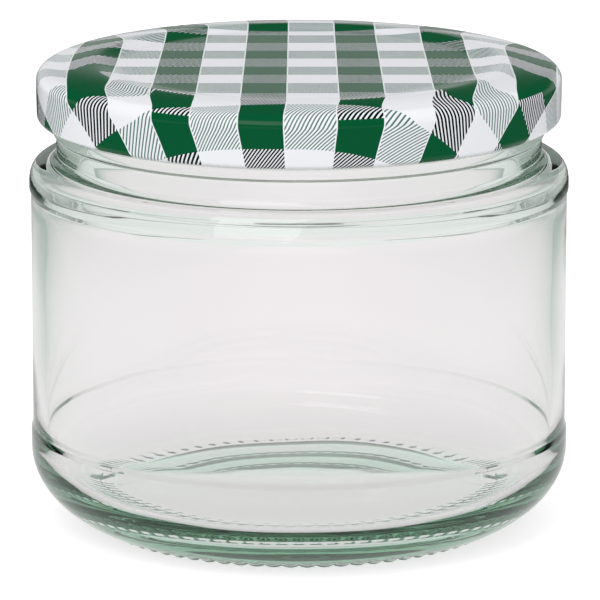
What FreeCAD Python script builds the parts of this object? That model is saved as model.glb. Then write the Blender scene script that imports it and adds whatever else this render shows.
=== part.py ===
"""Low wide-mouth preserving jar with a printed twist-off lid, in millimetres, +Z up.

The origin is on the jar's axis, in the plane that the foot stands on. Two pieces are written:
  jar - clear glass, turned about Z: foot ring with radial knurls, heel, label panel between two
        beads, shoulder, neck, transfer bead and a screw finish with short sloping ribs
  lid - tinplate cap with its sealing compound cast into the channel, a rolled lower edge and one
        lug under each rib of the finish
"""
import FreeCAD
import Part
import math
import os

V = FreeCAD.Vector
AXIS = V(0, 0, 1)

# --- glass: radii, each worked from the finish outwards -------------------------------------
FINISH_R = 39.9          # wall of the screw finish, outside
FINISH_WALL = 3.0        # glass in the finish, so the bore follows
NECK_OUT = 0.8           # neck stands out from the finish wall
TRANSFER_OUT = 1.3       # transfer bead stands out from the finish wall
SHOULDER_OUT = 5.1       # label panel stands out from the finish wall
BEAD_OUT = 0.3           # heel and shoulder beads stand out from the label panel
BODY_WALL = 2.4          # glass in the label panel
FOOT_IN = 10.2           # outer edge of the foot lies in from the label panel
FOOT_LAND = 3.2          # radial width of the flat that the jar stands on

# --- glass: heights -------------------------------------------------------------------------
FOOT_RISE = 0.35         # heel curve ends this far above the standing plane
HEEL_RUN = 20.8          # half axes of the heel's elliptical curve
HEEL_DROP = 14.6
HEEL_LAND = 3.0          # straight part of the heel bead
PANEL_H = 41.25          # between the heel bead and the shoulder bead
BEAD_RAMP = 0.35         # height of the small step at each bead
SHOULDER_LAND = 0.75     # straight part of the shoulder bead
SHOULDER_RISE = 3.77     # height of the shoulder's curve
SHOULDER_POWER = 2.7     # 2 is a plain ellipse, more is squarer
NECK_FILLET = 1.6        # where the neck stands on the shoulder
NECK_H = 4.8             # shoulder to transfer bead
TRANSFER_H = 1.8
TRANSFER_CHAMFER = 0.3
LIP_ROUND = 1.1          # rounding of the lip, inside and outside

# --- glass: inside --------------------------------------------------------------------------
PUSH_UP = 2.6            # middle of the underside above the standing plane
FLOOR_T = 4.6            # glass in the middle of the floor
FLOOR_DISH = 1.2         # edge of the inner floor lies lower than its middle
INNER_RUN = 9.0          # half axes of the inner heel curve
INNER_DROP = 7.8
INNER_SHOULDER_RISE = 4.5
INNER_SHOULDER_DOWN = 2.5    # inner shoulder curve starts this far under the outer one
BORE_ROUND = 3.0         # rounding where the inner shoulder turns up into the bore

# --- glass: details -------------------------------------------------------------------------
KNURLS = 76
KNURL_R = 0.9            # radius of each groove between two knurls
KNURL_DEPTH = 0.3
KNURL_STOP = 0.6         # flat left whole at the inner edge of the foot
RIBS = 6
RIB_R = 1.2              # rounding radius of a rib
RIB_BELOW_LIP = 4.8
RIB_SPAN = 52.0          # degrees round the finish
RIB_SLOPE = 2.6          # degrees

# --- lid ------------------------------------------------------------------------------------
SHEET = 0.3
COMPOUND_T = 1.0         # deepest part of the compound channel above the lip
COMPOUND_OVER = 0.6      # compound reaches past the lip, inside and outside
SKIRT_GAP = 3.83         # finish wall to the inside of the skirt
SKIRT_TAPER = 0.13       # skirt is this much narrower at its lower edge
LID_H = 9.55             # crown to the lower edge
EDGE_CLEAR = 0.55        # between the lower edge and the transfer bead
CROWN_IN = 9.5           # crown's ridge lies in from the skirt
CROWN_FALL = 0.75        # ridge to the start of the rounded corner
CROWN_SHARE = 0.25       # share of that fall that is straight, the rest being a parabola
CORNER_R = 2.3           # rounded corner between the top and the skirt
CENTRE_DROP = 0.6        # flat middle lies under the crown
CENTRE_IN = 14.5         # flat middle ends this far in from the skirt
CURL_R = 0.85            # half the width of the rolled edge
CURL_H = 2.0
LUG_SPAN = 14.0          # degrees
LUG_TURN = -8.0          # middle of a lug, from the middle of its rib
LUG_BITE = 0.55          # clearance between a lug and the finish wall
LUG_CLEAR = 0.2          # clearance between a lug and its rib
LUG_LOW = 0.15           # underside of a lug above the lid's lower edge

# --- spans between the points that a smooth edge passes through ---------------------------------
GENTLE_SPANS = 12        # underside and inner floor
TOP_SPANS = 40           # lid's top
CORNER_SPANS = 8         # lid's rounded corner

# --- worked out from the sizes above --------------------------------------------------------
panel_r = FINISH_R + SHOULDER_OUT
bead_r = panel_r + BEAD_OUT
inner_r = panel_r - BODY_WALL
neck_r = FINISH_R + NECK_OUT
transfer_r = FINISH_R + TRANSFER_OUT
bore_r = FINISH_R - FINISH_WALL
foot_r = panel_r - FOOT_IN
foot_in_r = foot_r - FOOT_LAND

heel_centre_r = bead_r - HEEL_RUN
foot_cos = (foot_r - heel_centre_r) / HEEL_RUN
heel_z = FOOT_RISE + HEEL_DROP * math.sqrt(1 - foot_cos ** 2)
heel_top = heel_z + HEEL_LAND
shoulder_low = heel_top + PANEL_H
shoulder_z = shoulder_low + SHOULDER_LAND
shoulder_top = shoulder_z + SHOULDER_RISE
transfer_low = shoulder_top + NECK_H
transfer_top = transfer_low + TRANSFER_H
finish_h = LID_H - COMPOUND_T - SHEET + EDGE_CLEAR
lip_z = transfer_top + finish_h
floor_z = PUSH_UP + FLOOR_T

crown_z = lip_z + COMPOUND_T + SHEET
lid_low = crown_z - LID_H
skirt_r = FINISH_R + SKIRT_GAP + SHEET
rib_z = lip_z - RIB_BELOW_LIP


def pt(r, z):
    """Point of a section in the XZ plane."""
    return V(r, 0, z)


def line(a, b):
    return Part.LineSegment(a, b).toShape()


def curve(points):
    """Smooth edge through points."""
    spline = Part.BSplineCurve()
    spline.interpolate(points)
    return spline.toShape()


def squircle(centre_r, centre_z, run, rise, power, start, end, count=15):
    """Points of a superellipse from angle start to end, in degrees; power 2 is an ellipse."""
    points = []
    for i in range(count):
        angle = math.radians(start + (end - start) * i / (count - 1))
        c, s = math.cos(angle), math.sin(angle)
        reach = (abs(c / run) ** power + abs(s / rise) ** power) ** (-1 / power)
        points.append(pt(centre_r + reach * c, centre_z + reach * s))
    return points


def chain(parts):
    """Closed wire from a list of single points and point lists, joined by straight lines."""
    edges = []
    last = None
    first = None
    for part in parts:
        points = part if isinstance(part, list) else [part]
        if first is None:
            first = points[0]
        if last is not None and last.distanceToPoint(points[0]) > 1e-6:
            edges.append(line(last, points[0]))
        if len(points) > 1:
            edges.append(curve(points))
        last = points[-1]
    if last.distanceToPoint(first) > 1e-6:
        edges.append(line(last, first))
    return Part.Wire(edges)


def turned(parts, angle=360.0):
    """Solid made by turning a closed section about Z."""
    solid = Part.Face(chain(parts)).revolve(V(0, 0, 0), AXIS, angle)
    return solid if solid.ShapeType == "Solid" else solid.Solids[0]


def jar_section():
    """Section of the glass, from the middle of the underside outwards and back inside."""
    foot_angle = -math.degrees(math.atan2((heel_z - FOOT_RISE), foot_r - heel_centre_r))
    shares = [i / GENTLE_SPANS for i in range(GENTLE_SPANS + 1)]
    underside = [pt(foot_in_r * t, PUSH_UP * (1 - t ** 2)) for t in shares]
    heel = squircle(heel_centre_r, heel_z, HEEL_RUN, HEEL_DROP, 2, foot_angle, 0)
    shoulder_run = bead_r - neck_r - NECK_FILLET
    shoulder = squircle(bead_r - shoulder_run, shoulder_z, shoulder_run, SHOULDER_RISE,
                        SHOULDER_POWER, 0, 90)
    neck_fillet = squircle(neck_r + NECK_FILLET, shoulder_top + NECK_FILLET, NECK_FILLET,
                           NECK_FILLET, 2, 270, 180, 7)
    lip_out = squircle(FINISH_R - LIP_ROUND, lip_z - LIP_ROUND, LIP_ROUND, LIP_ROUND, 2, 0, 90, 7)
    lip_in = squircle(bore_r + LIP_ROUND, lip_z - LIP_ROUND, LIP_ROUND, LIP_ROUND, 2, 90, 180, 7)
    inner_start = shoulder_z - INNER_SHOULDER_DOWN
    inner_top = inner_start + INNER_SHOULDER_RISE
    turn_r = bore_r + BORE_ROUND
    bore_turn = squircle(turn_r, inner_top + BORE_ROUND, BORE_ROUND, BORE_ROUND, 2, 180, 270, 7)
    inner_shoulder = squircle(turn_r, inner_start, inner_r - turn_r, INNER_SHOULDER_RISE, 2, 90, 0)
    floor_low = floor_z - FLOOR_DISH
    inner_heel_r = inner_r - INNER_RUN
    inner_heel = squircle(inner_heel_r, floor_low + INNER_DROP, INNER_RUN, INNER_DROP, 2, 0, -90)
    floor = [pt(inner_heel_r * t, floor_low + FLOOR_DISH * (1 - t ** 2) ** 2)
             for t in shares[::-1]]
    return [
        underside,
        pt(foot_r - FOOT_RISE, 0),
        heel,
        pt(bead_r, heel_top),
        pt(panel_r, heel_top + BEAD_RAMP),
        pt(panel_r, shoulder_low - BEAD_RAMP),
        pt(bead_r, shoulder_low),
        shoulder,
        neck_fillet,
        pt(neck_r, transfer_low - TRANSFER_CHAMFER),
        pt(transfer_r, transfer_low),
        pt(transfer_r, transfer_top - TRANSFER_CHAMFER),
        pt(transfer_r - TRANSFER_CHAMFER, transfer_top),
        pt(FINISH_R, transfer_top),
        lip_out,
        lip_in,
        bore_turn,
        inner_shoulder,
        inner_heel,
        floor,
    ]


def knurl_grooves():
    """Radial grooves that part the knurls, open at the outer edge of the foot."""
    start = foot_in_r + KNURL_STOP
    height = KNURL_DEPTH - KNURL_R
    grooves = []
    for i in range(KNURLS):
        angle = 2 * math.pi * (i + 0.5) / KNURLS
        out = V(math.cos(angle), math.sin(angle), 0)
        length = foot_r + KNURL_R - start
        grooves.append(Part.makeCylinder(KNURL_R, length, out * start + V(0, 0, height), out))
    return grooves


def ribs():
    """Short sloping ribs of the finish, round-ended, sunk to their middle in its wall."""
    half = RIB_SPAN / 2
    bar = Part.makeTorus(FINISH_R, RIB_R, V(0, 0, 0), AXIS, -180, 180, RIB_SPAN)
    bar.rotate(V(0, 0, 0), AXIS, -half)
    solid = bar
    for side in (-half, half):
        end = math.radians(side)
        solid = solid.fuse(Part.makeSphere(RIB_R, V(FINISH_R * math.cos(end),
                                                    FINISH_R * math.sin(end), 0)))
    solid.rotate(V(0, 0, 0), V(1, 0, 0), RIB_SLOPE)
    solid.translate(V(0, 0, rib_z))
    made = []
    for i in range(RIBS):
        rib = solid.copy()
        rib.rotate(V(0, 0, 0), AXIS, 360 * i / RIBS)
        made.append(rib)
    return made


def jar():
    """The glass: one solid, its ribs cut back to the bore so that nothing shows inside."""
    glass = turned(jar_section())
    bore = Part.makeCylinder(bore_r, 2 * finish_h, V(0, 0, lip_z - 2 * finish_h))
    outside = [rib.cut(bore) for rib in ribs()]
    glass = glass.cut(knurl_grooves())
    return glass.fuse(outside).removeSplitter()


def smooth(x):
    """Rises from 0 to 1 with level ends."""
    x = min(max(x, 0.0), 1.0)
    return x * x * (3 - 2 * x)


def lid_top(r):
    """Height of the lid's outer face from its middle to the start of the rounded corner."""
    centre_r = skirt_r - CENTRE_IN
    ridge_r = skirt_r - CROWN_IN
    if r < ridge_r:
        return crown_z - CENTRE_DROP * (1 - smooth((r - centre_r) / (ridge_r - centre_r)))
    past = (r - ridge_r) / (CROWN_IN - CORNER_R)
    return crown_z - CROWN_FALL * (CROWN_SHARE * past + (1 - CROWN_SHARE) * past ** 2)


def lid_face(inset):
    """Points of the lid's outer face moved in by inset, from the middle to the lower edge."""
    corner_r = skirt_r - CORNER_R
    radii = [corner_r * i / TOP_SPANS for i in range(TOP_SPANS)]
    top = [(r, lid_top(r)) for r in radii]
    fall = crown_z - CROWN_FALL
    slope = math.degrees(math.atan((2 - CROWN_SHARE) * CROWN_FALL / (CROWN_IN - CORNER_R)))
    turn_r = corner_r - CORNER_R * math.sin(math.radians(slope))
    turn_z = fall - CORNER_R * math.cos(math.radians(slope))
    stretch = (skirt_r - turn_r) / CORNER_R
    corner = []
    for i in range(CORNER_SPANS + 1):
        angle = math.radians((90 - slope) * (1 - i / CORNER_SPANS))
        corner.append((turn_r + CORNER_R * stretch * math.cos(angle),
                       turn_z + CORNER_R * math.sin(angle)))
    face = top + corner
    moved = []
    for i, (r, z) in enumerate(face):
        before = face[max(i - 1, 0)]
        after = face[min(i + 1, len(face) - 1)]
        dr, dz = after[0] - before[0], after[1] - before[1]
        size = math.hypot(dr, dz)
        r_new = max(r + inset * dz / size, 0.0)
        moved.append(pt(0.0 if i == 0 else r_new, z - inset * dr / size))
    return moved


def lid_section():
    """Section of the lid: top, corner, skirt, rolled edge and back up inside."""
    outer = lid_face(0.0)
    inner = lid_face(SHEET)
    low_r = skirt_r - SKIRT_TAPER
    curl_mid = lid_low + CURL_R
    curl = squircle(low_r - CURL_R, curl_mid, CURL_R, CURL_R, 2, 0, -180, 11)
    curl_top = lid_low + CURL_H
    roll = 2 * CURL_R - SHEET
    roll_over = squircle(low_r - SHEET, curl_top - roll / 2, roll, roll / 2, 2, 180, 90, 7)
    return [outer, curl, roll_over, inner[::-1]]


def compound():
    """Sealing compound: fills the channel down to the lip."""
    out_r = FINISH_R + COMPOUND_OVER
    in_r = bore_r - COMPOUND_OVER
    inner = [p for p in lid_face(SHEET / 2) if in_r < p.x < out_r]
    roof = [pt(in_r, inner[0].z)] + inner + [pt(out_r, inner[-1].z)]
    return turned([pt(in_r, lip_z), *roof, pt(out_r, lip_z)])


def lugs():
    """One lug under each rib, pressed in from the rolled edge."""
    rib_under = rib_z - RIB_R - FINISH_R * math.tan(math.radians(RIB_SLOPE)) * math.sin(
        math.radians(LUG_SPAN / 2 - LUG_TURN))
    top = rib_under - LUG_CLEAR
    low = lid_low + LUG_LOW
    in_r = FINISH_R + LUG_BITE
    out_r = skirt_r - SKIRT_TAPER - CURL_R
    half = (top - low) / 2
    nose = squircle(in_r + half, low + half, half, half, 2, 90, 270, 9)
    made = []
    for i in range(RIBS):
        lug = turned([nose, pt(out_r, low), pt(out_r, top)], LUG_SPAN)
        lug.rotate(V(0, 0, 0), AXIS, 360 * i / RIBS + LUG_TURN - LUG_SPAN / 2)
        made.append(lug)
    return made


def lid():
    """The cap: sheet, rolled edge, compound and lugs in one solid."""
    cap = turned(lid_section())
    return cap.fuse([compound()] + lugs()).removeSplitter()


def main():
    os.makedirs("parts", exist_ok=True)
    for name, shape in (("jar", jar()), ("lid", lid())):
        solids = shape.Solids
        print(name, "solids", len(solids), "valid", shape.isValid(),
              "volume cm3", round(shape.Volume / 1000, 3))
        solids[0].exportStep("parts/%s.step" % name)
    print("height mm", round(crown_z, 2), "lip", round(lip_z, 2))


main()
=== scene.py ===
"""A low preserving jar of clear glass, closed with a gingham twist-off lid.

The finishes are ClearGlass, GinghamPrint and Compound. The classes after them are:
  GlassJar   the pressed glass: knurled foot, heel, label panel, shoulder, neck, ribbed finish
  FlatSheet  where each point of the lid lies in the flat sheet that carries the print
  TwistLid   the printed tinplate cap, with its rolled edge, sealing compound and lugs
  Studio     the pale table and surroundings, one soft lamp and the camera

Sizes of the jar and lid are in millimetres, and those of the studio and meshes in metres.
"""

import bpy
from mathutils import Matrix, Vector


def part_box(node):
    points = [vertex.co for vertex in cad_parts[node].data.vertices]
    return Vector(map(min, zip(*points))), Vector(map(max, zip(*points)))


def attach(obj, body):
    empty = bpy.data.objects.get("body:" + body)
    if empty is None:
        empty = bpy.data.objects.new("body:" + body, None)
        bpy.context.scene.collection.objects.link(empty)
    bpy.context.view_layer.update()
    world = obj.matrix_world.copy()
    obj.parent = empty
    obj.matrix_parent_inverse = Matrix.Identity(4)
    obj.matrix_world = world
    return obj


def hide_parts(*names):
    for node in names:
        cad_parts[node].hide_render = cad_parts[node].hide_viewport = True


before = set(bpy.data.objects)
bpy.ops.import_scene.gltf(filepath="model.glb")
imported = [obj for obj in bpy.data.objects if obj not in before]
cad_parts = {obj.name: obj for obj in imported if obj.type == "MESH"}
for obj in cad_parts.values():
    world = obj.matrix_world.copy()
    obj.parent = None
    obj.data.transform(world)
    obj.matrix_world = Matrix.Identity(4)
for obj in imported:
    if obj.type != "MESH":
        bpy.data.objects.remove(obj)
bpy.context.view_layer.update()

import logging
import math
from dataclasses import dataclass
from enum import Enum
from typing import ClassVar

import bpy
import numpy as np
from numpy.typing import NDArray

Array = NDArray[np.float64]
Mask = NDArray[np.bool_]
Colour = tuple[float, float, float, float]
Pair = tuple[float, float]
Rise = tuple[float, float, float]           # start, run and height, as rise() takes them
Ramp = tuple[float, float, float, float]    # both ends of a range, and the values there
MM = 0.001
LOG = logging.getLogger("preserving_jar")


class Slot(Enum):
    """The record's material slots."""

    GLASS = "clear_glass"
    TINPLATE = "printed_tinplate"


# --- shapes ---------------------------------------------------------------------------------


def smooth(x: Array) -> Array:
    """Rises from 0 to 1 with level ends: 3 x squared less 2 x cubed, on x held to 0..1."""
    x = np.clip(x, 0.0, 1.0)
    return x * x * (3 - 2 * x)


def rise(x: Array, start: float, run: float, height: float = 1.0) -> Array:
    """Goes smoothly from 0 at start to height at start + run, and stays there."""
    return height * smooth((x - start) / run)


def straight(start: Pair, end: Pair, count: int = 2) -> Array:
    """Points (radius, height) evenly along a line from start to end."""
    t = np.linspace(0.0, 1.0, count)[:, None]
    return np.array(start) * (1 - t) + np.array(end) * t


def bow(centre: Pair, axes: Pair, start: float, end: float, power: float = 2.0,
        count: int = 60) -> Array:
    """Part of a superellipse in the (radius, height) plane.

    At angle a the distance from the centre is (|cos a / run|^p + |sin a / rise|^p)^(-1/p), which
    is a plain ellipse for p of 2 and squarer above it.

    Args:
        centre: Its centre.
        axes: Half axes along the radius and the height.
        start: First angle, in degrees from outwards.
        end: Last angle.
        power: The p of the formula.
        count: How many points.

    Returns:
        The points, as rows of (radius, height).
    """
    angle = np.radians(np.linspace(start, end, count))
    c, s = np.cos(angle), np.sin(angle)
    reach = (np.abs(c / axes[0]) ** power + np.abs(s / axes[1]) ** power) ** (-1 / power)
    return np.stack([centre[0] + reach * c, centre[1] + reach * s], axis=1)


def length_along(path: Array) -> Array:
    """Distance along a path up to each of its points."""
    steps = np.hypot(*np.diff(path, axis=0).T)
    return np.concatenate([[0.0], np.cumsum(steps)])


def softened(parts: list[Array], reach: float, step: float = 0.04) -> Array:
    """Joins parts of a section and rounds its corners.

    The joined path is sampled at even steps and each point becomes the average of its
    neighbours, weighted by a bell curve of the given reach. The ends stay where they are,
    because the path is continued there by its own reflection.

    Args:
        parts: The parts, each ending near where the next begins.
        reach: Standard deviation of the bell curve, in millimetres.
        step: Distance between samples.

    Returns:
        The rounded path, at even steps.
    """
    path = np.concatenate(parts)
    keep = np.concatenate([[True], np.hypot(*np.diff(path, axis=0).T) > 1e-6])
    path = path[keep]
    along = length_along(path)
    even = np.linspace(0.0, along[-1], int(along[-1] / step) + 1)
    path = np.stack([np.interp(even, along, path[:, i]) for i in range(2)], axis=1)
    span = int(4 * reach / step)
    bell = np.exp(-0.5 * (np.arange(-span, span + 1) * step / reach) ** 2)
    bell /= bell.sum()
    before = 2 * path[0] - path[span:0:-1]
    after = 2 * path[-1] - path[-2:-span - 2:-1]
    long = np.concatenate([before, path, after])
    return np.stack([np.convolve(long[:, i], bell, "valid") for i in range(2)], axis=1)


def normals(path: Array) -> Array:
    """Unit normals of a section that runs out along the bottom and up the outside.

    A normal is the direction of travel turned a quarter clockwise, so it points out of the
    glass or the metal.

    Args:
        path: The section's points.

    Returns:
        One normal for each point.
    """
    run = np.gradient(path, axis=0)
    run /= np.maximum(np.hypot(*run.T), 1e-12)[:, None]
    return np.stack([run[:, 1], -run[:, 0]], axis=1)


def chosen(path: Array, count: int, degrees: float, longest: float,
           dense: Array | float = 0.0) -> Array:
    """Numbers of the points to keep on a finely sampled path.

    Each stretch gets points in proportion to 1/longest for each millimetre, plus its turn in
    degrees over degrees, plus dense for each millimetre; the sum is then shared out evenly.

    Args:
        path: The fine path.
        count: How many points to keep.
        degrees: Turn that is worth one point.
        longest: Length that is worth one point.
        dense: Further points for each millimetre, everywhere or at each point of the path.

    Returns:
        Rising whole numbers, with both ends of the path among them.
    """
    run = np.diff(path, axis=0)
    steps = np.hypot(*run.T)
    heading = np.unwrap(np.arctan2(run[:, 1], run[:, 0]))
    turn = np.abs(np.diff(heading, prepend=heading[0]))
    further = np.broadcast_to(dense, len(path))[1:]
    worth = steps / longest + np.degrees(turn) / degrees + steps * further
    total = np.concatenate([[0.0], np.cumsum(worth)])
    wanted = np.linspace(0.0, total[-1], count)
    return np.unique(np.round(np.interp(wanted, total, np.arange(len(path)))).astype(int))


def all_round(count: int) -> Array:
    """Angles of that many columns, spread evenly once round."""
    return np.arange(count) * (2 * np.pi / count)


def turned(r: Array, z: Array, angle: Array) -> Array:
    """Points of a section turned about Z, in metres.

    Args:
        r: Radii in millimetres, as one column or one for each angle.
        z: Heights, in the same form.
        angle: The angles of the columns.

    Returns:
        Array of rows, columns and (x, y, z).
    """
    x, y, z = np.broadcast_arrays(r * np.cos(angle), r * np.sin(angle), z)
    return np.stack([x, y, z], axis=-1) * MM


def surface(name: str, points: Array, ends: Array | None = None) -> bpy.types.Object:
    """Makes a closed mesh from a grid of points whose columns go once round.

    Square (i, j) joins the points (i, j), (i, j+1), (i+1, j+1) and (i+1, j), counted round
    where the grid closes.

    Args:
        name: Name of the object.
        points: Array of rows, columns and (x, y, z), in metres.
        ends: Two points that close the first and the last row with a fan each. Without them
            the last row joins the first.

    Returns:
        The object, smooth shaded and linked to the scene.
    """
    rows, columns = points.shape[:2]
    number = np.arange(rows * columns).reshape(rows, columns)
    low = number if ends is None else number[:-1]
    high = np.roll(number, -1, axis=0)[:len(low)]
    squares = np.stack([low, np.roll(low, -1, 1), np.roll(high, -1, 1), high], axis=-1)
    faces = squares.reshape(-1, 4).tolist()
    verts = points.reshape(-1, 3)
    if ends is not None:
        verts = np.concatenate([verts, ends])
        for end, ring in ((number.size, number[0, ::-1]), (number.size + 1, number[-1])):
            fan = np.stack([np.full(columns, end), ring, np.roll(ring, -1)], axis=-1)
            faces += fan.tolist()
    mesh = bpy.data.meshes.new(name)
    mesh.from_pydata(verts.tolist(), [], faces)
    mesh.polygons.foreach_set("use_smooth", np.ones(len(mesh.polygons), bool))
    mesh.update()
    made = bpy.data.objects.new(name, mesh)
    bpy.context.scene.collection.objects.link(made)
    return made


# --- finishes -------------------------------------------------------------------------------


def ink(red: int, green: int, blue: int) -> Colour:
    """A colour in the linear values that shaders take.

    Args:
        red: Its red on a screen, 0 to 255.
        green: Its green.
        blue: Its blue.

    Returns:
        Red, green, blue and 1.
    """
    linear = [c / 255 for c in (red, green, blue)]
    linear = [c / 12.92 if c <= 0.04045 else ((c + 0.055) / 1.055) ** 2.4 for c in linear]
    return (*linear, 1.0)


class Graph:
    """Adds nodes to the tree of one material or world."""

    def __init__(self, tree: bpy.types.NodeTree) -> None:
        """Takes the tree over and empties it."""
        self.tree = tree
        tree.nodes.clear()

    def feed(self, socket: bpy.types.NodeSocket, value: object) -> None:
        """Links something to an input, or sets the input to a constant.

        Args:
            socket: The input.
            value: A Value, a socket, a node whose first output is meant, or a constant.
        """
        if isinstance(value, Value):
            value = value.socket
        elif isinstance(value, bpy.types.Node):
            value = value.outputs[0]
        if isinstance(value, bpy.types.NodeSocket):
            self.tree.links.new(value, socket)
        else:
            socket.default_value = value

    def node(self, kind: str, settings: dict | None = None,
             inputs: dict | None = None) -> bpy.types.Node:
        """Adds a node.

        Args:
            kind: Its type, as in ShaderNodeMix.
            settings: What is set first, such as a Math node's operation.
            inputs: Input name or number to a constant, a Value, a socket or a node.

        Returns:
            The node.
        """
        made = self.tree.nodes.new(kind)
        for key, value in (settings or {}).items():
            setattr(made, key, value)
        for key, value in (inputs or {}).items():
            self.feed(made.inputs[key], value)
        return made

    def value(self, node: bpy.types.Node, output: str | int = 0) -> "Value":
        """One of a node's outputs as a Value."""
        return Value(self, node.outputs[output])

    def axes(self, vector: object) -> list["Value"]:
        """The x, y and z of a vector."""
        split = self.node("ShaderNodeSeparateXYZ", inputs={0: vector})
        return [self.value(split, i) for i in range(3)]

    def length(self, vector: object) -> "Value":
        """The length of a vector."""
        made = self.node("ShaderNodeVectorMath", {"operation": "LENGTH"}, {0: vector})
        return self.value(made, "Value")

    def mix(self, factor: object, first: object, second: object) -> bpy.types.NodeSocket:
        """A colour that goes from first to second as factor goes from 0 to 1."""
        made = self.node("ShaderNodeMix", {"data_type": "RGBA"},
                         {0: factor, 6: first, 7: second})
        return made.outputs[2]

    def blend(self, factor: object, first: object, second: object) -> bpy.types.Node:
        """A shader that goes from first to second as factor goes from 0 to 1."""
        return self.node("ShaderNodeMixShader", inputs={0: factor, 1: first, 2: second})

    def ramp(self, value: object, low: float, high: float, at_low: float,
             at_high: float) -> "Value":
        """Goes smoothly from at_low to at_high while value goes from low to high."""
        made = self.node("ShaderNodeMapRange", {"interpolation_type": "SMOOTHSTEP"},
                         {0: value, 1: low, 2: high, 3: at_low, 4: at_high})
        return self.value(made)


class Value:
    """A number that varies over a surface, on which Python's operators add Math nodes."""

    def __init__(self, graph: Graph, socket: bpy.types.NodeSocket) -> None:
        """Wraps a socket of the graph's tree."""
        self.graph = graph
        self.socket = socket

    def _math(self, operation: str, first: object, second: object | None = None) -> "Value":
        """The Math node of that operation on one or two values."""
        inputs = {0: first} if second is None else {0: first, 1: second}
        return self.graph.value(
            self.graph.node("ShaderNodeMath", {"operation": operation}, inputs))

    def __add__(self, other: object) -> "Value":
        """self + other."""
        return self._math("ADD", self, other)

    __radd__ = __add__

    def __sub__(self, other: object) -> "Value":
        """self - other."""
        return self._math("SUBTRACT", self, other)

    def __rsub__(self, other: object) -> "Value":
        """other - self."""
        return self._math("SUBTRACT", other, self)

    def __mul__(self, other: object) -> "Value":
        """self * other."""
        return self._math("MULTIPLY", self, other)

    __rmul__ = __mul__

    def __truediv__(self, other: object) -> "Value":
        """self / other."""
        return self._math("DIVIDE", self, other)

    def __gt__(self, other: object) -> "Value":
        """1 where self is greater than other, else 0."""
        return self._math("GREATER_THAN", self, other)

    def __lt__(self, other: object) -> "Value":
        """1 where self is less than other, else 0."""
        return self._math("LESS_THAN", self, other)

    def __or__(self, other: object) -> "Value":
        """1 where self or other is 1: the greater of the two."""
        return self._math("MAXIMUM", self, other)

    def __abs__(self) -> "Value":
        """self without its sign."""
        return self._math("ABSOLUTE", self)

    def part(self) -> "Value":
        """What is left of self past the last whole number below it."""
        return self._math("FRACT", self)


def new_material(name: str) -> tuple[bpy.types.Material, Graph]:
    """Makes a node material with an empty tree.

    Args:
        name: Its name.

    Returns:
        The material, and the graph that fills its tree.
    """
    material = bpy.data.materials.new(name)
    material.use_nodes = True
    return material, Graph(material.node_tree)


@dataclass(frozen=True)
class ClearGlass:
    """Soda-lime glass: clear, with a green cast that shows where light goes far through it."""

    cast: Colour = ink(142, 206, 174)
    cast_per_metre: float = 28.0
    index: float = 1.52

    def material(self) -> bpy.types.Material:
        """Glass on the surface and absorption in the volume.

        Returns:
            The material.
        """
        made, graph = new_material("clear_glass")
        glass = graph.node("ShaderNodeBsdfPrincipled", inputs={
            "Base Color": (1.0, 1.0, 1.0, 1.0), "Roughness": 0.0, "IOR": self.index,
            "Transmission Weight": 1.0})
        body = graph.node("ShaderNodeVolumeAbsorption", inputs={
            "Color": self.cast, "Density": self.cast_per_metre})
        graph.node("ShaderNodeOutputMaterial", inputs={"Surface": glass, "Volume": body})
        return made


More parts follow.
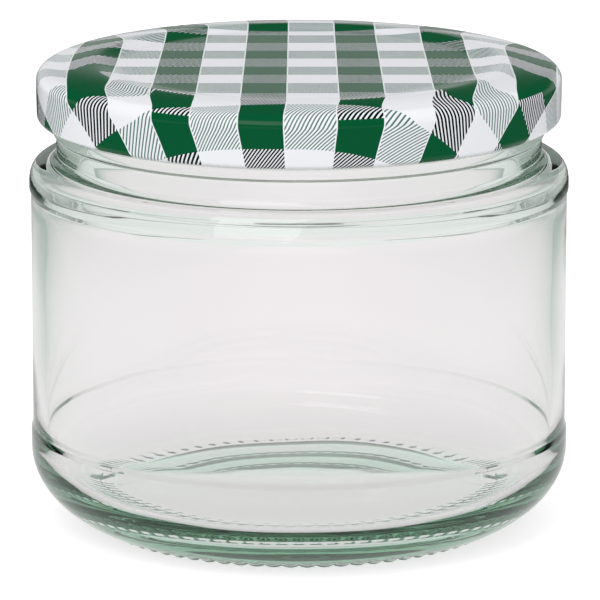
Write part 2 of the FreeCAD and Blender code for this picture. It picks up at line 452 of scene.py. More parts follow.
@dataclass(frozen=True)
class GinghamPrint:
    """Green and white gingham under a gloss varnish, on a white coat.

    The pattern lies in the flat sheet that the lid was drawn from, x to the right and y towards
    the front, in millimetres. A square is solid green where a green column crosses a green row,
    dark hatching on white where a green column crosses a white row, fine pale hatching where a
    white column crosses a green row, and white elsewhere. Towards the lid's edge some hatched
    squares are solid, and some solid ones are hatched.
    """

    period: float = 15.5             # of the columns
    row_period: float = 14.3
    green: float = 7.1               # width of a green column or row
    first_column: float = 5.95
    first_row: float = 37.8
    white_line: float = 0.22         # between a green column and pale hatching
    hatch: float = 0.63              # from stroke to stroke
    wide: float = 1.6                # strokes are this many times as wide at both sides
    wide_past: Pair = (-17.95, 21.45)
    turned_past: float = 21.3        # and slant the other way to the right of this
    dark_share: float = 0.57         # how much of the way to the next stroke is inked
    pale_share: float = 0.40
    gain: float = 0.20               # how much more of it on the flat middle
    gain_ends: Pair = (32.0, 37.0)   # where that fades out
    ridge_r: float = 34.6            # squares are filled only outside this ridge
    near: float = 26.0               # up to here every other column is filled, in one row
    side_rows: Pair = (10.0, 30.0)   # past there all are, between these
    side_z: float = 76.6             # and above this height
    strip_past: float = 30.0         # the filled columns are hatched in front of this
    strip_z: float = 76.95           # above this height
    white_ink: Colour = ink(236, 238, 242)
    green_ink: Colour = ink(0, 84, 48)
    dark_ink: Colour = ink(0, 26, 15)
    middle_ink: Colour = ink(0, 66, 36)
    pale_ink: Colour = ink(88, 120, 110)
    lacquer: Colour = ink(226, 224, 214)
    roughness: float = 0.16
    index: float = 1.33

    def stroke(self, x: Value, y: Value) -> Value:
        """How far a point has come from one stroke of hatching to the next.

        Strokes start on the lines where x + y, or x - y at the right, is a whole number of
        steps.

        Args:
            x: Its place in the sheet, to the right.
            y: Its place towards the front.

        Returns:
            A share from 0 to 1.
        """
        slant = x + y * (1 - 2 * (x > self.turned_past))
        left, right = self.wide_past
        coarse = (x < left) + (x > right)
        return (slant / (self.hatch * (1 + coarse * (self.wide - 1)))).part()

    def solid(self, graph: Graph, x: Value, y: Value, row: Value) -> Value:
        """Where a green column is solid green, and not hatched.

        Args:
            graph: The material's graph.
            x: Place in the sheet, to the right.
            y: Place towards the front.
            row: 1 in a green row.

        Returns:
            1 where it is solid, else 0.
        """
        place = graph.node("ShaderNodeTexCoord")
        aside, back, height = graph.axes(place.outputs["Object"])
        outer = aside * aside + back * back > (self.ridge_r * MM) ** 2
        every_other = ((x - self.first_column) / (2 * self.period)).part() < 0.5
        near = abs(x) < self.near
        front_row = (y > self.first_row - self.row_period) * (y < self.first_row + self.green)
        low, high = self.side_rows
        side = (1 - near) * (y > low) * (y < high) * (height > self.side_z * MM)
        filled = (every_other * near * front_row | side) * outer
        strip = every_other * near * row * (y > self.strip_past) * (height > self.strip_z * MM)
        return (row | filled) * (1 - strip)

    def material(self) -> bpy.types.Material:
        """The print outside, by the sheet's own flat places, and lacquer inside.

        Returns:
            The material.
        """
        made, graph = new_material("gingham_print")
        place = graph.node("ShaderNodeUVMap", {"uv_map": "sheet"})
        x, y = (axis * FlatSheet.UNIT for axis in graph.axes(place)[:2])
        gain = graph.ramp(graph.length(place) * FlatSheet.UNIT, *self.gain_ends, self.gain, 0.0)
        stroke = self.stroke(x, y)
        across = ((x - self.first_column) / self.period).part() * self.period
        row = ((y - self.first_row) / self.row_period).part() * self.row_period < self.green
        off_line = ((across > self.green + self.white_line)
                    * (across < self.period - self.white_line))
        pale = graph.mix((stroke < gain + self.pale_share) * row * off_line,
                         self.white_ink, self.pale_ink)
        dark = graph.mix(gain / self.gain, self.dark_ink, self.middle_ink)
        hatched = graph.mix(stroke < gain + self.dark_share, self.white_ink, dark)
        column = graph.mix(self.solid(graph, x, y, row), hatched, self.green_ink)
        printed = graph.mix(across < self.green, pale, column)
        outside = graph.node("ShaderNodeAttribute", {"attribute_name": "outside"})
        shader = graph.node("ShaderNodeBsdfPrincipled", inputs={
            "Base Color": graph.mix(graph.value(outside, "Fac") > 0.5, self.lacquer, printed),
            "Roughness": self.roughness, "IOR": self.index})
        graph.node("ShaderNodeOutputMaterial", inputs={"Surface": shader})
        return made


@dataclass(frozen=True)
class Compound:
    """Sealing compound: a soft pale plastic with a dull skin."""

    colour: Colour = ink(214, 212, 204)
    darker: Colour = ink(204, 202, 195)
    cloud_scale: float = 900.0       # clouds to a metre
    roughness: float = 0.55

    def material(self) -> bpy.types.Material:
        """Dull and slightly mottled.

        Returns:
            The material.
        """
        made, graph = new_material("compound")
        place = graph.node("ShaderNodeTexCoord")
        cloud = graph.node("ShaderNodeTexNoise", inputs={
            "Vector": place.outputs["Object"], "Scale": self.cloud_scale})
        shader = graph.node("ShaderNodeBsdfPrincipled", inputs={
            "Base Color": graph.mix(cloud, self.colour, self.darker),
            "Roughness": self.roughness})
        graph.node("ShaderNodeOutputMaterial", inputs={"Surface": shader})
        return made


def dress(piece: bpy.types.Object, material: bpy.types.Material) -> None:
    """Gives a piece its finish and the body that it rides on.

    Args:
        piece: The piece.
        material: Its finish.
    """
    piece.data.materials.append(material)
    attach(piece, "root")
    LOG.info("%s: %d faces", piece.name, len(piece.data.polygons))


# --- the glass ------------------------------------------------------------------------------


@dataclass
class GlassJar:
    """The glass body: a section turned about Z, with knurls and ribs pressed into it."""

    bead_r: float                    # over the heel and shoulder beads
    lip_z: float                     # top of the glass
    bead_out: float = 0.3            # beads stand out from the label panel
    body_wall: float = 2.4
    finish_in: float = 5.4           # finish wall lies in from the beads
    finish_wall: float = 3.0
    finish_h: float = 8.8            # from the transfer bead to the lip
    transfer_out: float = 1.3        # transfer bead stands out from the finish wall
    transfer_h: float = 1.8
    transfer_chamfer: float = 0.3
    neck_out: float = 0.8            # neck stands out from the finish wall
    neck_h: float = 4.8
    neck_fillet: float = 1.6
    shoulder_rise: float = 3.77
    shoulder_power: float = 2.7      # 2 is an ellipse, and more is squarer
    shoulder_land: float = 0.75      # straight height of the shoulder bead
    bead_ramp: float = 0.8           # height of the slope beside a bead
    heel_land: float = 3.0           # straight height of the heel bead
    heel_run: float = 20.8           # half axes of the heel's ellipse
    heel_drop: float = 14.6
    foot_in: float = 10.5            # foot's outer edge lies in from the beads
    foot_rise: float = 0.35          # between the foot's flat and the heel
    foot_land: float = 3.2           # width of the foot
    push_up: float = 2.6             # of the middle, above the foot
    floor_t: float = 4.6             # in the middle
    floor_dish: float = 1.2          # middle of the floor stands above its rim
    inner_run: float = 9.0           # half axes of the inner heel's ellipse
    inner_drop: float = 7.8
    inner_shoulder_down: float = 2.5     # starts below the outer shoulder
    inner_shoulder_rise: float = 4.5
    bore_round: float = 3.0          # between the bore and the inner shoulder
    lip_round: float = 1.1
    corner: float = 0.16             # softness of pressed corners
    knurls: int = 76
    knurl_depth: float = 0.34
    knurl_stop: float = 0.45         # flat left whole inside the knurls
    knurl_start: float = 0.5         # over this length they reach their depth
    knurl_climb: float = 4.0         # and over this they fade out up the heel
    ribs: int = 6
    rib_r: float = 1.2
    rib_below_lip: float = 4.8
    rib_span: float = 52.0           # degrees
    rib_slope: float = 2.6           # degrees
    unevenness: float = 0.025        # of the inner wall, where a plunger shaped it
    floor_fade: Pair = (6.0, 20.0)   # its waves start at this radius, over this width
    neck_fade: Pair = (52.0, 8.0)    # and end at this height, over this one
    columns_per_knurl: int = 6
    rows: int = 196
    fine_below: float = 2.5          # rows lie closer together below this height

    def __post_init__(self) -> None:
        """Works out the sizes that follow from others."""
        self.panel_r = self.bead_r - self.bead_out
        self.inner_r = self.panel_r - self.body_wall
        self.finish_r = self.bead_r - self.finish_in
        self.bore_r = self.finish_r - self.finish_wall
        self.foot_r = self.bead_r - self.foot_in
        self.foot_in_r = self.foot_r - self.foot_land
        self.transfer_top = self.lip_z - self.finish_h
        self.shoulder_top = self.transfer_top - self.transfer_h - self.neck_h
        self.shoulder_z = self.shoulder_top - self.shoulder_rise
        self.shoulder_low = self.shoulder_z - self.shoulder_land
        self.heel_centre_r = self.bead_r - self.heel_run
        foot_cos = (self.foot_r - self.heel_centre_r) / self.heel_run
        self.heel_z = self.foot_rise + self.heel_drop * math.sqrt(1 - foot_cos ** 2)
        self.heel_top = self.heel_z + self.heel_land

    def underside(self) -> Array:
        """From the middle of the push-up, a bowl z = h (1 - (r/R)^2), across the foot's flat.

        Returns:
            Rows of (radius, height).
        """
        r = np.linspace(0.0, self.foot_in_r, 80)
        bowl = np.stack([r, self.push_up * (1 - (r / self.foot_in_r) ** 2)], axis=1)
        return np.concatenate([bowl, straight((self.foot_in_r, 0.0),
                                              (self.foot_r - self.foot_rise, 0.0))])

    def outer_wall(self) -> list[Array]:
        """Heel curve, label panel between its beads, shoulder, neck, transfer bead and finish.

        Returns:
            The stretches in order, each as rows of (radius, height).
        """
        start = -math.degrees(math.atan2(self.heel_z - self.foot_rise,
                                         self.foot_r - self.heel_centre_r))
        neck_r = self.finish_r + self.neck_out
        transfer_r = self.finish_r + self.transfer_out
        transfer_low = self.transfer_top - self.transfer_h
        chamfer = self.transfer_chamfer
        shoulder_run = self.bead_r - neck_r - self.neck_fillet
        return [
            bow((self.heel_centre_r, self.heel_z), (self.heel_run, self.heel_drop), start, 0),
            straight((self.bead_r, self.heel_z), (self.bead_r, self.heel_top)),
            straight((self.panel_r, self.heel_top + self.bead_ramp),
                     (self.panel_r, self.shoulder_low - self.bead_ramp)),
            straight((self.bead_r, self.shoulder_low), (self.bead_r, self.shoulder_z)),
            bow((self.bead_r - shoulder_run, self.shoulder_z),
                (shoulder_run, self.shoulder_rise), 0, 90, self.shoulder_power),
            bow((neck_r + self.neck_fillet, self.shoulder_top + self.neck_fillet),
                (self.neck_fillet, self.neck_fillet), 270, 180, count=12),
            straight((neck_r, transfer_low - chamfer), (transfer_r, transfer_low)),
            straight((transfer_r, self.transfer_top - chamfer),
                     (transfer_r - chamfer, self.transfer_top)),
            straight((self.finish_r, self.transfer_top),
                     (self.finish_r, self.lip_z - self.lip_round)),
        ]

    def inner_wall(self) -> list[Array]:
        """Over the lip, down the bore, under the shoulder, down the wall and over the floor.

        The floor is a dish, z = low + h (1 - (r/R)^2)^2.

        Returns:
            The stretches in order, each as rows of (radius, height).
        """
        lip = self.lip_round
        shoulder_start = self.shoulder_z - self.inner_shoulder_down
        shoulder_end = shoulder_start + self.inner_shoulder_rise
        turn_r = self.bore_r + self.bore_round
        floor_low = self.push_up + self.floor_t - self.floor_dish
        heel_r = self.inner_r - self.inner_run
        r = np.linspace(heel_r, 0.0, 80)
        floor = np.stack([r, floor_low + self.floor_dish * (1 - (r / heel_r) ** 2) ** 2], axis=1)
        return [
            bow((self.finish_r - lip, self.lip_z - lip), (lip, lip), 0, 90, count=12),
            bow((self.bore_r + lip, self.lip_z - lip), (lip, lip), 90, 180, count=12),
            bow((turn_r, shoulder_end + self.bore_round), (self.bore_round, self.bore_round),
                180, 270, count=16),
            bow((turn_r, shoulder_start), (self.inner_r - turn_r, self.inner_shoulder_rise),
                90, 0),
            bow((heel_r, floor_low + self.inner_drop), (self.inner_run, self.inner_drop), 0, -90),
            floor,
        ]

    def section(self) -> tuple[Array, Array, Mask]:
        """The rows of the mesh, which lie closer together over the foot and the finish.

        Returns:
            The kept points of the rounded section, their normals, and as a column whether each
            is on the outside.
        """
        path = softened([self.underside()] + self.outer_wall() + self.inner_wall(), self.corner)
        r, z = path.T
        outside = np.arange(len(path)) < np.argmax(z)
        foot = outside & (z < self.fine_below) & (r > self.foot_in_r - 0.3)
        finish = outside & (z > self.transfer_top) & (z < self.lip_z - self.lip_round)
        keep = chosen(path, self.rows, degrees=9.0, longest=3.2,
                      dense=3.0 * foot + 2.2 * finish)
        return path[keep], normals(path)[keep], outside[keep][:, None]

    def knurl(self, path: Array, angle: Array) -> Array:
        """How far the foot's knurls lie in from the section.

        Across a knurl the depth is that of a parabola, so two knurls meet in a sharp valley. It
        fades in past the flat's inner edge and fades out up the heel.

        Args:
            path: The section's points.
            angle: The angles of the columns.

        Returns:
            Array of rows and columns, in millimetres.
        """
        along = length_along(path)
        flat_start = along[np.argmax(path[:, 0] > self.foot_in_r)]
        flat_end = flat_start + self.foot_land - self.foot_rise
        depth = rise(along, flat_start + self.knurl_stop, self.knurl_start, self.knurl_depth)
        depth = depth * (1 - rise(along, flat_end, self.knurl_climb))
        phase = np.mod(angle * self.knurls / (2 * np.pi), 1.0) * 2 - 1
        return depth[:, None] * phase ** 2

    def rib(self, path: Array, angle: Array) -> Array:
        """How far the finish's ribs stand out.

        A rib is half a round bar of radius R along a sloping line: R^2 less the square of the
        distance from that line, square rooted, with round ends.

        Args:
            path: The section's points.
            angle: The angles of the columns.

        Returns:
            Array of rows and columns, in millimetres.
        """
        pitch = 2 * np.pi / self.ribs
        local = np.mod(angle + pitch / 2, pitch) - pitch / 2
        climb = self.finish_r * np.sin(local) * math.sin(math.radians(self.rib_slope))
        across = path[:, 1:] - (self.lip_z - self.rib_below_lip) - climb
        past = (np.abs(local) - math.radians(self.rib_span / 2)) * self.finish_r
        inside = self.rib_r ** 2 - across ** 2 - np.maximum(past, 0) ** 2
        return np.sqrt(np.maximum(inside, 0))

    def waves(self, path: Array, angle: Array) -> Array:
        """Gentle waves of the inner wall: three sines of the angle and the height.

        They fade out over the middle of the floor and below the neck.

        Args:
            path: The section's points.
            angle: The angles of the columns.

        Returns:
            Array of rows and columns, in millimetres.
        """
        r, z = path.T[:, :, None]
        height = rise(r, *self.floor_fade, self.unevenness) * (1 - rise(z, *self.neck_fade))
        return height * (np.sin(3 * angle + z / 6.1) + 0.7 * np.sin(5 * angle - z / 4.3 + 1.7)
                         + 0.5 * np.sin(11 * angle + z / 2.9 + 0.6))

    def build(self) -> bpy.types.Object:
        """The glass as one closed mesh.

        Returns:
            The piece, dressed.
        """
        path, normal, outside = self.section()
        angle = all_round(self.knurls * self.columns_per_knurl)
        inwards = self.knurl(path, angle) + ~outside * self.waves(path, angle)
        r = path[:, :1] - inwards * normal[:, :1] + outside * self.rib(path, angle)
        z = path[:, 1:] - inwards * normal[:, 1:]
        points = turned(r, z, angle)
        piece = surface("jar_glass", points[1:-1], points[[0, -1], 0])
        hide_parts("jar")
        dress(piece, ClearGlass().material())
        return piece


# --- the lid --------------------------------------------------------------------------------


@dataclass(frozen=True)
class FlatSheet:
    """Where the lid's face lies in the flat sheet that it was drawn from.

    Places in the sheet are in millimetres from its middle, x to the right and y towards the
    front. A point of the lid is given by the length of face from its middle and by its angle.
    """

    UNIT: ClassVar[float] = 100.0    # millimetres of sheet to one unit of the UV map

    skirt_r: float                   # of the lid
    top_z: float
    stretch: tuple[float, float, float] = (1.05, 0.433, 0.92)   # top, corner and skirt
    top_in: float = 7.7              # the top's stretch ends this far in from the skirt
    corner_down: float = 3.15        # and the corner's this far below the top
    spread: float = 0.00135          # of columns, for each millimetre towards the front
    aside: float = -0.45             # of all columns
    squeeze: tuple[Rise, ...] = (    # of white columns at the left and right, along x
        (-9.1, -7.3, -1.15), (-24.5, -6.1, -1.25), (13.7, 7.9, 0.3), (28.7, 6.6, 1.85))
    forward: float = 6.75            # of the rows
    front_rest: Rise = (18.0, 24.0, 1.0)     # less so towards the front
    back_rest: Rise = (26.5, 5.0, 0.8)       # and the back
    to_skirt: Rise = (34.0, 9.0, 1.0)        # from the top's layout to the skirt's
    drawn: Rise = (0.0, 8.0, 1.0)            # past the top the sheet was pulled and turned
    behind: Rise = (100.0, 50.0, 1.0)        # but not at the back, by degrees from the front
    left_pull: Rise = (0.0, 62.0, 0.19)      # share, by degrees from the front
    right_pull: Rise = (30.0, 40.0, 0.075)
    left_turn: Rise = (35.0, 45.0, 9.0)      # degrees
    right_turn: Rise = (20.0, 30.0, 2.5)

    def top(self, x: Array, y: Array, out: Array) -> tuple[Array, Array]:
        """Where a point of the lid's top lies in the sheet.

        Columns spread a little towards the front, and white columns are narrower further out.
        Rows are moved forwards as a whole, less so near the front and back edges.

        Args:
            x: Length of face to the right of the middle.
            y: Length of face towards the front.
            out: 0 on the top and 1 on the skirt.

        Returns:
            The place's x and y.
        """
        x = x / (1 + self.spread * y)
        across = x + self.aside + sum(rise(x, *step) for step in self.squeeze)
        moved = (1 - rise(y, *self.front_rest)) * (1 - rise(-y, *self.back_rest)) * (1 - out)
        return across, y + self.forward * moved

    def skirt(self, along: Array, path: Array, side: Array) -> tuple[Array, Array]:
        """Where a point of the corner or skirt lies in the sheet.

        The distance from the middle is the length along the face, stretched by one share over
        the top, another round the corner and a third down the skirt. Drawing the skirt also
        pulled the sheet at the sides: more on the left, less on the right, none at the back.

        Args:
            along: Length of face from the middle, for each row, falling to 0.
            path: The section's points.
            side: Angle of each column from the front, in degrees, growing to the right.

        Returns:
            The place's x and y.
        """
        fine = np.linspace(0.0, along[0], 3000)
        radius, height = (np.interp(fine, along[::-1], path[::-1, i]) for i in range(2))
        top_r = self.skirt_r - self.top_in
        past_top = smooth(radius - top_r + 0.5)
        past_corner = smooth(self.top_z - self.corner_down - height + 0.5)
        top, corner, skirt = self.stretch
        share = top + (corner - top) * past_top + (skirt - corner) * past_corner
        flat = np.concatenate([[0.0], np.cumsum(share[1:] * np.diff(fine))])
        past = along - fine[np.argmax(radius > top_r)]
        drawn = rise(past, *self.drawn)[:, None] * (1 - rise(np.abs(side), *self.behind))
        pull = rise(-side, *self.left_pull) + rise(side, *self.right_pull)
        turn = rise(-side, *self.left_turn) + rise(side, *self.right_turn)
        rho = np.interp(along, fine, flat)[:, None] * (1 + drawn * pull)
        way = np.radians(side + drawn * turn)
        return rho * np.sin(way), rho * np.cos(way)

    def places(self, along: Array, path: Array, angle: Array) -> Array:
        """Where each point of the lid lies in the sheet, in units of the UV map.

        Args:
            along: Length of face from the middle, for each row, falling to 0.
            path: The section's points.
            angle: Angle of each column.

        Returns:
            Array of rows, columns and (x, y).
        """
        side = np.degrees(np.arctan2(np.cos(angle), -np.sin(angle)))
        out = rise(along, *self.to_skirt)[:, None]
        top = self.top(along[:, None] * np.cos(angle), -along[:, None] * np.sin(angle), out)
        mixed = [a * (1 - out) + b * out for a, b in zip(top, self.skirt(along, path, side))]
        return np.stack(mixed, axis=-1) / self.UNIT


@dataclass
class TwistLid:
    """The cap: printed sheet with a rolled edge, compound in its channel and lugs below."""

    skirt_r: float                   # outside of the skirt, at its top
    top_z: float                     # the raised middle
    low_z: float                     # lower edge
    finish_r: float                  # of the glass that it closes
    bore_r: float
    lip_z: float
    sheet: float = 0.3
    centre_drop: float = 0.6         # the flat middle lies below the crown
    centre_in: float = 14.5          # and ends this far in from the skirt
    crown_in: float = 9.5            # the crown's ridge
    crown_fall: float = 0.75
    crown_share: float = 0.25        # of that fall that is straight, the rest being a parabola
    corner_r: float = 2.3
    skirt_taper: float = 0.13
    face_soft: float = 0.12          # softness of the face's corners
    edge_soft: float = 0.05
    curl_r: float = 0.85
    curl_h: float = 2.0
    compound_over: float = 0.6       # past both sides of the lip
    dent: float = 0.12               # that the lip makes in the compound
    dent_half: float = 1.1
    ring_soft: float = 0.1
    lugs: int = 6
    lug_span: float = 14.0           # degrees
    lug_turn: float = -8.0           # of the first, in degrees
    lug_bite: float = 0.55           # between a lug and the finish wall
    lug_h: float = 1.5
    lug_low: float = 0.15            # above the lower edge
    lug_soft: float = 0.08
    lug_end: float = 0.25            # size of a lug's section at its ends, as a share
    lug_back: float = 0.3            # the middle that it shrinks to lies in from its back
    columns: int = 400
    ring_columns: int = 240
    rows: int = 170

    def face(self) -> Array:
        """Outer face from the middle to the lower edge.

        The middle is flat, and a slope that is level at both ends climbs from it to the crown's
        ridge. From there the crown falls, partly straight and partly as a parabola, to the
        rounded corner, and the skirt tapers a little.

        Returns:
            Rows of (radius, height).
        """
        corner_in = self.skirt_r - self.corner_r
        ridge, centre = self.skirt_r - self.crown_in, self.skirt_r - self.centre_in
        r = np.linspace(0.0, corner_in, 500)
        climb = self.top_z - self.centre_drop * (1 - smooth((r - centre) / (ridge - centre)))
        past = np.maximum(r - ridge, 0) / (corner_in - ridge)
        share = self.crown_share
        z = climb - self.crown_fall * (share * past + (1 - share) * past ** 2)
        slope = math.atan((2 - share) * self.crown_fall / (corner_in - ridge))
        turn_r = corner_in - self.corner_r * math.sin(slope)
        turn_z = self.top_z - self.crown_fall - self.corner_r * math.cos(slope)
        corner = bow((turn_r, turn_z), (self.skirt_r - turn_r, self.corner_r),
                     90 - math.degrees(slope), 0)
        return softened([np.stack([r, z], axis=1), corner[1:],
                         straight((self.skirt_r, turn_z),
                                  (self.skirt_r - self.skirt_taper, self.low_z))[1:]],
                        self.face_soft)

    def section(self) -> tuple[Array, Array, Array]:
        """The whole section, from the middle of the lining out, round the edge and back on top.

        Returns:
            The kept points, the length of sheet from the top's middle to each of them, and 1 or
            0 for outside or inside.
        """
        face = self.face()
        out = normals(face[::-1])[::-1]
        lining = face - self.sheet * out
        lining[:, 0] = np.maximum(lining[:, 0], 0)
        lining = lining[lining[:, 1] > self.low_z + self.curl_h]
        low_r = self.skirt_r - self.skirt_taper
        roll = 2 * self.curl_r - self.sheet
        over = bow((low_r - self.sheet, self.low_z + self.curl_h - roll / 2), (roll, roll / 2),
                   90, 180, count=20)
        curl = bow((low_r - self.curl_r, self.low_z + self.curl_r), (self.curl_r, self.curl_r),
                   -180, 0, count=40)
        skirt = face[face[:, 1] > self.low_z + self.curl_r][::-1]
        path = softened([lining, over, curl, skirt], self.edge_soft)
        keep = chosen(path, self.rows, degrees=7.0, longest=2.4)
        along = length_along(path)
        edge = along[np.argmin(path[:, 1])]
        return path[keep], (along[-1] - along)[keep], (along > edge)[keep].astype(float)

    def shell(self) -> bpy.types.Object:
        """The printed sheet, with its flat places as a UV map and its side as an attribute.

        Returns:
            The piece.
        """
        path, along, outside = self.section()
        angle = all_round(self.columns)
        points = turned(path[:, :1], path[:, 1:], angle)
        piece = surface("lid_shell", points[1:-1], points[[0, -1], 0])
        mesh = piece.data
        place = FlatSheet(self.skirt_r, self.top_z).places(along, path, angle)[1:-1]
        place = np.concatenate([place.reshape(-1, 2), place[[0, -1]].mean(1)])
        corner = np.empty(len(mesh.loops), np.int32)
        mesh.loops.foreach_get("vertex_index", corner)
        mesh.uv_layers.new(name="sheet").data.foreach_set("uv", place[corner].ravel())
        side = np.concatenate([np.repeat(outside[1:-1], self.columns), [0.0, 1.0]])
        mesh.attributes.new("outside", "FLOAT", "POINT").data.foreach_set("value", side)
        return piece

    def compound(self) -> bpy.types.Object:
        """The ring in the channel, from the sheet down to the lip.

        The lip dents its underside by a bell curve, exp(-(d / half width)^2).

        Returns:
            The piece.
        """
        out_r = self.finish_r + self.compound_over
        in_r = self.bore_r - self.compound_over
        face = self.face()
        inner = face[(face[:, 0] > in_r) & (face[:, 0] < out_r)]
        roof = inner[::-1] - [0.0, self.sheet / 2]
        low = np.array([[in_r, self.lip_z], [out_r, self.lip_z]])
        path = softened([low, roof, low[:1]], self.ring_soft)[:-1]
        from_lip = (path[:, 0] - (self.finish_r + self.bore_r) / 2) / self.dent_half
        under = path[:, 1] < self.lip_z + 0.15
        path[:, 1] += self.dent * np.exp(-from_lip ** 2) * under
        path = path[chosen(path, 60, degrees=10.0, longest=0.4)[:-1]]
        return surface("lid_compound", turned(path[:, :1], path[:, 1:],
                                              all_round(self.ring_columns)))

    def lug(self, turn: float) -> bpy.types.Object:
        """A lug pressed in from the rolled edge, round nosed and with soft ends.

        Along it, t going from -1 to 1, the section shrinks by the root of 1 - t^8.

        Args:
            turn: Angle of its middle, in degrees.

        Returns:
            The lug as a closed mesh.
        """
        low = self.low_z + self.lug_low
        in_r = self.finish_r + self.lug_bite
        out_r = self.skirt_r - self.skirt_taper - self.curl_r
        half = self.lug_h / 2
        nose = bow((in_r + half, low + half), (half, half), 90, 270, count=30)
        path = softened([nose, straight(nose[-1], (out_r, low)),
                         straight((out_r, low), (out_r, low + self.lug_h)),
                         straight((out_r, low + self.lug_h), nose[0])], self.lug_soft)[:-1]
        path = path[chosen(path, 50, degrees=10.0, longest=0.4)[:-1]]
        way = np.linspace(-1.0, 1.0, 33)[:, None]
        size = np.maximum(np.sqrt(1 - way ** 8), self.lug_end)
        middle_r, middle_z = out_r - self.lug_back, low + half
        points = turned(middle_r + (path[:, 0] - middle_r) * size,
                        middle_z + (path[:, 1] - middle_z) * size,
                        np.radians(turn + way * self.lug_span / 2))
        return surface("lid_lug", points, points[[0, -1]].mean(1))

    def build(self) -> list[bpy.types.Object]:
        """All pieces of the lid.

        Returns:
            The pieces, dressed.
        """
        print_finish = GinghamPrint().material()
        shell, ring = self.shell(), self.compound()
        dress(shell, print_finish)
        dress(ring, Compound().material())
        lugs = [self.lug(360 * i / self.lugs + self.lug_turn) for i in range(self.lugs)]
        for lug in lugs:
            dress(lug, print_finish)
        pieces = [shell, ring, *lugs]
        for piece in pieces:
            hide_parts("lid")
        return pieces


# --- the studio -----------------------------------------------------------------------------


@dataclass(frozen=True)
class Glow:
    """A dull surface that also gives light of its own, so that shadows on it stay soft."""

    dull: float                      # share of light that it scatters
    light: Colour                    # that it gives of its own

    def shader(self, graph: Graph) -> bpy.types.Node:
        """Both shaders, added.

        Args:
            graph: The material's graph.

        Returns:
            The node that adds them.
        """
        dull = (self.dull, self.dull, self.dull, 1.0)
        matt = graph.node("ShaderNodeBsdfDiffuse", inputs={"Color": dull})
        light = graph.node("ShaderNodeEmission", inputs={"Color": self.light, "Strength": 1.0})
        return graph.node("ShaderNodeAddShader", inputs={0: matt, 1: light})


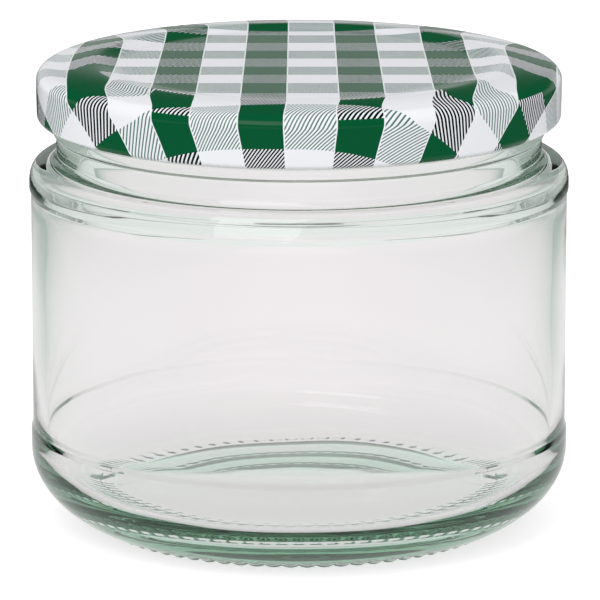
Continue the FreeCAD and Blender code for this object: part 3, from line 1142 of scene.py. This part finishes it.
@dataclass(frozen=True)
class Studio:
    """A plain pale table with bright surroundings, one soft lamp and a long lens."""

    lens: float = 372.9
    camera_place: tuple[float, float, float] = (0.00017, -1.022, 0.2735)
    camera_down: float = 13.01       # degrees below level
    lamp_place: tuple[float, float, float] = (-0.30, -0.75, 0.95)
    lamp_size: float = 0.7
    lamp_power: float = 3.2
    bounces: int = 24                # light runs round inside thick glass
    around: float = 0.95             # light on dull surfaces from all sides
    sky_in_gloss: Ramp = (0.205, 0.222, 0.46, 0.03)      # by height
    sky_in_glass: Ramp = (0.20, 0.75, 0.95, 0.40)        # by height
    sides_in_glass: Ramp = (0.2, 0.6, 1.0, 0.6)          # by distance to either side
    table_half: float = 1.6
    table_z: float = -0.00005
    table: Glow = Glow(0.45, (0.38, 0.38, 0.38, 1.0))    # to dull surfaces
    to_camera: Glow = Glow(0.58, (0.66, 0.66, 0.66, 1.0))
    in_glass: Glow = Glow(0.17, (0.815, 0.73, 0.768, 1.0))
    in_glass_beside: Glow = Glow(0.10, (0.40, 0.45, 0.42, 1.0))
    beside: Ramp = (0.06, 0.16, 0.0, 1.0)                # by distance to either side
    table_in_gloss: Ramp = (0.18, 0.32, 0.8, 0.08)       # by distance from the middle

    @staticmethod
    def rays(graph: Graph) -> tuple[Value, Value, Value]:
        """What kind of ray meets a surface.

        Args:
            graph: The graph of its material, or of the world.

        Returns:
            1 or 0 for a ray from the camera, off a glossy surface and through glass.
        """
        path = graph.node("ShaderNodeLightPath")
        through = graph.value(path, "Is Transmission Ray")
        gloss = graph.value(path, "Is Glossy Ray") * (1 - through)
        return graph.value(path, "Is Camera Ray"), gloss, through

    def world(self) -> None:
        """Surroundings that differ for the camera, for glass, for gloss and for dull surfaces.

        Glass sees white low down and grey above and beside, so its edges are drawn in grey.
        Gloss sees a bright band low down and a dark ceiling, so the lid's print keeps its depth.
        """
        world = bpy.data.worlds.new("surroundings")
        world.use_nodes = True
        bpy.context.scene.world = world
        graph = Graph(world.node_tree)
        place = graph.node("ShaderNodeTexCoord")
        aside, _, height = graph.axes(place.outputs["Generated"])
        camera, gloss, through = self.rays(graph)
        in_glass = graph.ramp(height, *self.sky_in_glass) * graph.ramp(
            abs(aside), *self.sides_in_glass)
        light = (self.around * (1 - gloss) * (1 - through) + through * in_glass
                 + gloss * graph.ramp(height, *self.sky_in_gloss))
        sky = graph.node("ShaderNodeBackground", inputs={
            "Color": (1.0, 1.0, 1.0, 1.0), "Strength": light * (1 - camera) + camera})
        graph.node("ShaderNodeOutputWorld", inputs={"Surface": sky})

    def floor(self) -> None:
        """A wide pale table that keeps the soft shadow and is white to the camera.

        Glass sees it darker, and darker still beside the jar. Gloss sees it bright near the jar
        and dark further off.
        """
        half, z = self.table_half, self.table_z
        mesh = bpy.data.meshes.new("table")
        mesh.from_pydata([(-half, -half, z), (half, -half, z), (half, half, z),
                          (-half, half, z)], [], [(0, 1, 2, 3)])
        table = bpy.data.objects.new("table", mesh)
        bpy.context.scene.collection.objects.link(table)
        made, graph = new_material("pale_table")
        camera, gloss, through = self.rays(graph)
        place = graph.node("ShaderNodeTexCoord").outputs["Object"]
        beside = graph.ramp(abs(graph.axes(place)[0]), *self.beside)
        in_glass = graph.blend(beside, self.in_glass.shader(graph),
                               self.in_glass_beside.shader(graph))
        in_air = graph.blend(camera, self.table.shader(graph), self.to_camera.shader(graph))
        in_gloss = graph.node("ShaderNodeEmission", inputs={
            "Color": (1.0, 1.0, 1.0, 1.0),
            "Strength": graph.ramp(graph.length(place), *self.table_in_gloss)})
        seen = graph.blend(gloss, graph.blend(through, in_air, in_glass), in_gloss)
        graph.node("ShaderNodeOutputMaterial", inputs={"Surface": seen})
        mesh.materials.append(made)

    def lamp(self) -> None:
        """One large soft lamp above the front left, turned to face the origin."""
        light = bpy.data.lights.new("soft_lamp", "AREA")
        light.energy = self.lamp_power
        light.size = self.lamp_size
        lamp = bpy.data.objects.new("soft_lamp", light)
        lamp.location = self.lamp_place
        x, y, z = self.lamp_place
        lamp.rotation_euler = (math.atan2(math.hypot(x, y), z), 0.0, math.atan2(x, -y))
        bpy.context.scene.collection.objects.link(lamp)

    def camera(self) -> None:
        """A long lens, level from side to side and looking a little down."""
        data = bpy.data.cameras.new("camera")
        data.lens = self.lens
        data.clip_end = 20.0
        camera = bpy.data.objects.new("camera", data)
        camera.location = self.camera_place
        camera.rotation_euler = (math.radians(90 - self.camera_down), 0.0, 0.0)
        bpy.context.scene.collection.objects.link(camera)
        bpy.context.scene.camera = camera

    def build(self) -> None:
        """Sets up surroundings, table, lamp, camera and plain colours."""
        self.world()
        self.floor()
        self.lamp()
        self.camera()
        bpy.context.scene.view_settings.view_transform = "Standard"
        cycles = bpy.context.scene.cycles
        cycles.max_bounces = cycles.transmission_bounces = self.bounces
        cycles.glossy_bounces = self.bounces


def main() -> None:
    """Builds the jar, its lid and the studio."""
    logging.basicConfig(level=logging.INFO)
    _, jar_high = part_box("jar")
    lid_low, lid_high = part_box("lid")
    jar = GlassJar(bead_r=jar_high.x / MM, lip_z=jar_high.z / MM)
    jar.build()
    lid = TwistLid(skirt_r=lid_high.x / MM, top_z=lid_high.z / MM, low_z=lid_low.z / MM,
                   finish_r=jar.finish_r, bore_r=jar.bore_r, lip_z=jar.lip_z)
    lid.build()
    Studio().build()


if __name__ == "__main__":
    main()
